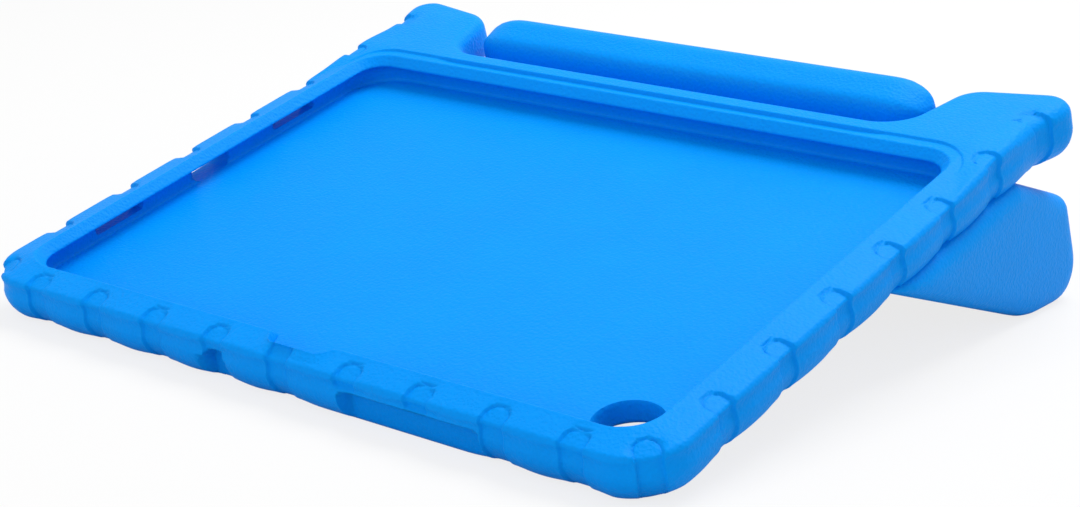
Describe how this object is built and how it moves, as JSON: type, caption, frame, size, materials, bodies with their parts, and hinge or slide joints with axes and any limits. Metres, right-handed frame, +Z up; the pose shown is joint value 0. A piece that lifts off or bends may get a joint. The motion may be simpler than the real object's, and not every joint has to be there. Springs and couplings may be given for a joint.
{
  "type": "tablet case",
  "caption": "Soft foam tablet case for children: bumper frame with grip bands, rounded corner feet, and a carrying handle with a hand hole that props it up.",
  "frame": {"origin": "centre of the bounding box's footprint, on the surface the case rests on", "axes": "+X along the screen's long side, +Y from the front edge towards the handle and feet, +Z up. The case is tilted about X and rests on its front edge and on the handle's heel."},
  "size_m": [0.2768, 0.2466, 0.0725],
  "materials": {
    "foam": "soft matte foam with a fine leather-like grain"
  },
  "bodies": {
    "root": {"tablet_case": "foam"}
  },
  "joints": []
}
